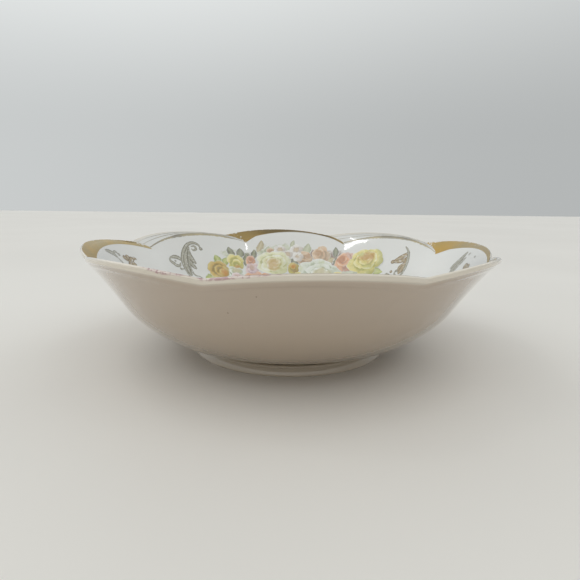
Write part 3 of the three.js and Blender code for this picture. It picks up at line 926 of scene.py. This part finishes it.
def leaf_material(name, pale, deep, rib):
    """A leaf's two greens and its veins."""
    material, tree, shader = wash_material(name)
    side, along = painted(tree, "side"), painted(tree, "along")
    flank = maths(tree, "ABSOLUTE", side)
    uneven = maths(tree, "MULTIPLY_ADD", maths(tree, "SUBTRACT", noise(tree, 150, 3.0), 0.5), 1.4, flank)
    colour = blend_colour(tree, ramp_between(tree, uneven, 0.1, 0.9), pale, deep)
    slant = maths(tree, "MULTIPLY_ADD", flank, -0.28, along)
    veins = ramp_between(tree, maths(tree, "SINE", product(tree, slant, 50.0)), 0.4, 1.0)
    colour = blend_colour(tree, product(tree, veins, 0.3), colour, rib)
    colour = blend_colour(tree, ramp_between(tree, flank, 0.10, 0.02, 0.0, 0.7), colour, rib)
    wash_over(tree, shader, colour, 0.2)
    return material


def leaf(name, angle, distance, length, width, heading, bend, order, material):
    """A toothed leaf from its stalk towards its tip. heading is in degrees from the right."""
    steps, rows, teeth = 70, 17, 6
    along, side = np.meshgrid(np.linspace(0, 1, steps), np.linspace(-1, 1, rows), indexing="ij")
    toothed = 1 - 0.14 * ((along * teeth) % 1.0) * np.abs(side) ** 2
    half = width / 2 * np.sin(np.pi * np.clip(along, 0.004, 0.996) ** 0.85) ** 0.8 * toothed
    turn = np.radians(heading) + np.radians(bend) * (along - 0.5)
    x = (along - 0.5) * length * np.cos(turn) - side * half * np.sin(turn)
    y = (along - 0.5) * length * np.sin(turn) + side * half * np.cos(turn)
    numbers = {"along": along, "side": side, "brink": np.clip((np.abs(side) - 0.6) / 0.5, 0, 1)}
    points = on_the_wall(angle, distance, x, y, spray_lift(order)).reshape(-1, 3)
    return make_piece(name, points, grid_faces(steps, rows), numbers, material)


FULL_ROSE = [(0.20, 2), (0.42, 3), (0.70, 4), (1.0, 4)]
HALF_ROSE = [(0.28, 2), (0.60, 3), (1.0, 4)]
BUD = [(0.45, 1), (1.0, 3)]
BLOSSOM = [(0.26, 5), (1.0, 5)]

# Each wash: petal edges, petal bodies, the folds between, the heart, and a blush.
yellow = petal_material(
    "yellow rose wash",
    (0.95, 0.92, 0.62), (0.84, 0.73, 0.25), (0.42, 0.40, 0.08), (0.54, 0.26, 0.045), (0.55, 0.54, 0.13),
)
ochre = petal_material(
    "ochre rose wash",
    (0.76, 0.64, 0.24), (0.66, 0.43, 0.09), (0.32, 0.22, 0.045), (0.60, 0.25, 0.02), (0.46, 0.43, 0.10),
)
peach = petal_material(
    "peach rose wash",
    (0.90, 0.66, 0.48), (0.82, 0.42, 0.22), (0.48, 0.27, 0.20), (0.52, 0.22, 0.11), (0.68, 0.53, 0.51),
)
apricot = petal_material(
    "apricot petal wash",
    (0.84, 0.70, 0.53), (0.74, 0.50, 0.31), (0.43, 0.30, 0.19), (0.52, 0.31, 0.17), (0.60, 0.50, 0.35),
)
cream = petal_material(
    "cream rose wash",
    (0.95, 0.95, 0.86), (0.86, 0.85, 0.58), (0.50, 0.50, 0.21), (0.64, 0.42, 0.15), (0.70, 0.72, 0.36),
)
white = petal_material(
    "white rose wash",
    (0.93, 0.94, 0.91), (0.79, 0.82, 0.72), (0.40, 0.45, 0.30), (0.60, 0.53, 0.30), (0.66, 0.70, 0.44),
)
blossom = petal_material(
    "small blossom wash",
    (0.95, 0.94, 0.91), (0.84, 0.81, 0.76), (0.52, 0.44, 0.38), (0.62, 0.48, 0.30), (0.72, 0.66, 0.62),
)
pink = petal_material(
    "pink petal wash",
    (0.90, 0.78, 0.77), (0.78, 0.59, 0.58), (0.50, 0.33, 0.35), (0.60, 0.40, 0.30), (0.67, 0.56, 0.62),
)
fresh = leaf_material("fresh leaf wash", (0.53, 0.58, 0.17), (0.28, 0.36, 0.07), (0.70, 0.70, 0.34))
shadowed = leaf_material("shadowed leaf wash", (0.27, 0.28, 0.16), (0.10, 0.10, 0.055), (0.40, 0.40, 0.26))
faded = leaf_material("faded leaf wash", (0.58, 0.60, 0.42), (0.38, 0.41, 0.25), (0.68, 0.69, 0.53))
russet = leaf_material("russet leaf wash", (0.58, 0.50, 0.30), (0.40, 0.31, 0.16), (0.70, 0.63, 0.43))
olive_blot = blot_material("olive shadow wash", (0.36, 0.35, 0.20), (0.15, 0.14, 0.06))
green_blot = blot_material("pale green wash", (0.70, 0.72, 0.58), (0.52, 0.55, 0.38))
rosy_blot = blot_material("rosy shadow wash", (0.58, 0.45, 0.37), (0.28, 0.18, 0.14))

SPRAY = ("rose_transfer", "rose_spray")

# Each blot: angle, distance, width, height, order and material.
BLOTS = [
    (111.0, 126.0, 26, 13, 0, green_blot),
    (106.0, 121.5, 19, 19, 1, olive_blot),
    (98.0, 129.0, 18, 17, 0, green_blot),
    (88.0, 127.0, 30, 17, 1, green_blot),
    (76.5, 123.0, 28, 17, 2, rosy_blot),
    (62.0, 121.0, 21, 30, 1, rosy_blot),
    (81.8, 112.5, 17, 17, 0, olive_blot),
    (111.0, 92.0, 44, 32, 1, green_blot),
    (91.0, 84.0, 46, 34, 2, olive_blot),
    (70.0, 90.0, 44, 32, 1, green_blot),
    (52.0, 106.0, 26, 20, 0, green_blot),
]
for number, (angle, distance, width, height, order, material) in enumerate(BLOTS, 1):
    piece = blot(f"spray_wash_{number:02d}", angle, distance, width, height, order, material)
    stand_for(piece, *SPRAY)

# Each leaf: angle, distance, length, width, heading, bend and material.
LEAVES = [
    (119.6, 119.2, 11, 9, 95, 20, fresh),
    (116.2, 118.0, 10, 7, 60, -20, fresh),
    (112.4, 128.6, 11, 8, 110, -25, shadowed),
    (107.8, 128.4, 12, 9, 75, 25, shadowed),
    (105.4, 121.0, 17, 9, 85, 10, shadowed),
    (101.6, 125.6, 13, 8, 70, 20, shadowed),
    (97.8, 134.2, 14, 8, 68, 20, russet),
    (94.8, 127.5, 11, 7, 80, -20, faded),
    (76.0, 128.0, 14, 9, 75, 20, faded),
    (83.0, 133.0, 9, 5, 80, -20, faded),
    (62.2, 130.8, 13, 7, 95, 15, shadowed),
    (60.6, 119.5, 17, 8, 85, -20, shadowed),
    (64.6, 119.0, 12, 8, 60, -20, russet),
    (82.0, 113.8, 12, 10, 90, -20, shadowed),
    (77.5, 115.0, 9, 6, 120, 15, russet),
    (39.6, 112.0, 12, 8, 350, 25, fresh),
    (126.0, 103.0, 16, 10, 190, 25, fresh),
    (119.0, 92.0, 20, 12, 215, -25, shadowed),
    (110.0, 80.0, 20, 12, 235, 20, fresh),
    (98.0, 70.0, 20, 11, 260, 20, shadowed),
    (84.0, 70.0, 19, 11, 280, -25, fresh),
    (68.0, 80.0, 20, 12, 310, 25, shadowed),
    (56.0, 93.0, 19, 11, 330, -20, fresh),
    (47.0, 101.0, 17, 10, 350, 20, shadowed),
    (90.0, 80.0, 18, 11, 250, 0, faded),
    (104.0, 88.0, 18, 11, 160, 15, shadowed),
    (72.0, 93.0, 18, 11, 20, -15, shadowed),
]
for number, (angle, distance, length, width, heading, bend, material) in enumerate(LEAVES, 1):
    order = 3 + number % 5
    piece = leaf(f"spray_leaf_{number:02d}", angle, distance, length, width, heading, bend, order, material)
    stand_for(piece, *SPRAY)

# Each bloom: name, angle, distance, width, height, lean of its heart, petal rows and material.
BLOOMS = [
    ("blossom_peach", 93.4, 127.4, 8, 7, (0.0, 0.0), BLOSSOM, apricot),
    ("petals_apricot_left", 77.4, 119.4, 18, 14, (0.5, 0.3), HALF_ROSE, apricot),
    ("petals_apricot_right", 69.0, 123.4, 17, 22, (-0.4, 0.2), HALF_ROSE, apricot),
    ("petals_yellow", 111.0, 116.6, 16, 20, (0.1, -0.55), HALF_ROSE, yellow),
    ("petals_white_left", 113.0, 107.0, 17, 13, (0.3, 0.2), HALF_ROSE, white),
    ("rose_ochre", 120.6, 110.2, 21, 19, (0.45, -0.25), HALF_ROSE, ochre),
    ("bud_peach", 103.7, 118.6, 10, 13, (0.0, 0.4), BUD, peach),
    ("petals_pink", 103.3, 109.0, 14, 16, (0.0, 0.3), HALF_ROSE, pink),
    ("rose_peach_low", 101.0, 93.0, 32, 28, (-0.2, 0.25), FULL_ROSE, peach),
    ("rose_yellow_low", 80.5, 90.0, 34, 31, (0.15, 0.2), FULL_ROSE, yellow),
    ("bud_ochre", 82.3, 108.6, 11, 13, (0.0, 0.35), BUD, ochre),
    ("blossom_high_left", 88.8, 127.6, 12, 11, (0.0, 0.0), BLOSSOM, blossom),
    ("blossom_high_right", 81.2, 127.6, 12, 11, (0.0, 0.0), BLOSSOM, blossom),
    ("blossom_low_left", 85.2, 122.4, 11, 10, (0.0, 0.0), BLOSSOM, blossom),
    ("blossom_low_right", 80.2, 120.4, 11, 10, (0.0, 0.0), BLOSSOM, blossom),
    ("rose_cream_large", 92.2, 114.6, 34, 27, (-0.04, -0.1), FULL_ROSE, cream),
    ("rose_peach", 56.6, 120.0, 20, 26, (-0.3, 0.2), HALF_ROSE, peach),
    ("rose_white_right", 68.8, 107.2, 41, 25, (0.1, -0.1), FULL_ROSE, white),
    ("rose_yellow", 46.8, 120.6, 32, 29, (0.02, 0.22), FULL_ROSE, yellow),
    ("bud_pink_low", 112.0, 98.0, 13, 17, (0.0, 0.35), BUD, pink),
    ("bud_yellow_low", 59.0, 101.0, 13, 16, (0.0, 0.35), BUD, yellow),
]
for order, (name, angle, distance, width, height, lean, rows_of_petals, material) in enumerate(BLOOMS):
    piece = bloom(name, angle, distance, width, height, lean, rows_of_petals, 9 + order, material, 40 + order)
    stand_for(piece, *SPRAY)

# ------------------------------------------------------------
# The table, the light and the camera
# A plain pale table under soft daylight and two small ceiling lights, in a pale room that is dimmer on
# the viewer's side, seen from a little above the rim.
# ------------------------------------------------------------


def pale_table():
    material = bpy.data.materials.new("pale table")
    material.use_nodes = True
    tree = material.node_tree
    shader = tree.nodes["Principled BSDF"]
    cloud = ramp_between(tree, noise(tree, 3, 3.0), 0.3, 0.7)
    pale = blend_colour(tree, cloud, (0.83, 0.805, 0.765), (0.86, 0.835, 0.795))
    tree.links.new(pale, shader.inputs["Base Color"])
    shader.inputs["Roughness"].default_value = 0.6
    half = 3.0
    corners = [(-half, -half, 0), (half, -half, 0), (half, half, 0), (-half, half, 0)]
    table = make_piece("table", corners, [(0, 1, 2, 3)], {}, material)


def ceiling_light(name, place, size, watts):
    """A small soft light that faces the bowl."""
    lamp = bpy.data.lights.new(name, "AREA")
    lamp.shape = "RECTANGLE"
    lamp.size, lamp.size_y = size
    lamp.energy = watts
    lamp.color = (1.0, 0.99, 0.97)
    holder = bpy.data.objects.new(name, lamp)
    bpy.context.scene.collection.objects.link(holder)
    holder.location = place
    holder.rotation_euler = (-Vector(place)).to_track_quat("-Z", "Y").to_euler()


def pale_room():
    """An even pale room, dimmer on the viewer's side and to the right, with a dim patch overhead."""
    world = bpy.data.worlds.new("pale room")
    world.use_nodes = True
    tree = world.node_tree
    toward = add_node(tree, "SeparateXYZ")
    feed(tree, toward.inputs[0], add_node(tree, "TexCoord").outputs["Generated"])
    behind = ramp_between(tree, toward.outputs["Y"], -0.45, 0.35)
    overhead = ramp_between(tree, toward.outputs["Z"], 0.12, 0.7)
    wall = blend_colour(tree, behind, (0.20, 0.18, 0.165), (0.57, 0.59, 0.59))
    room = blend_colour(tree, overhead, wall, (1.12, 1.15, 1.14))
    upward = product(tree, toward.outputs["Z"], 0.93)
    slant = maths(tree, "MULTIPLY_ADD", toward.outputs["Y"], 0.36, upward)
    room = blend_colour(tree, ramp_between(tree, slant, 0.84, 0.97, 0.0, 0.85), room, (0.20, 0.19, 0.18))
    sideways = ramp_between(tree, toward.outputs["X"], -0.7, 0.7, 1.04, 0.80)
    tree.links.new(room, tree.nodes["Background"].inputs["Color"])
    tree.links.new(sideways, tree.nodes["Background"].inputs["Strength"])
    bpy.context.scene.world = world


pale_table()
pale_room()
ceiling_light("ceiling_light_left", (-0.55, 0.14, 1.2), (0.07, 0.20), 0.30)
ceiling_light("ceiling_light_right", (0.30, -0.05, 1.2), (0.07, 0.07), 0.13)
bpy.context.scene.view_settings.view_transform = "Standard"

CAMERA_PLACE = (-0.0297, -0.2866, 0.0945)
CAMERA_HEADING = -6.0
CAMERA_DIP = 11.5
CAMERA_ROLL = 0.8
lens = bpy.data.cameras.new("camera")
lens.sensor_width = 36
lens.lens = 27.3
lens.clip_start = 0.01
camera = bpy.data.objects.new("camera", lens)
bpy.context.scene.collection.objects.link(camera)
camera.matrix_world = (
    Matrix.Translation(CAMERA_PLACE)
    @ Matrix.Rotation(math.radians(CAMERA_HEADING), 4, "Z")
    @ Matrix.Rotation(math.radians(90 - CAMERA_DIP), 4, "X")
    @ Matrix.Rotation(math.radians(CAMERA_ROLL), 4, "Z")
)
bpy.context.scene.camera = camera
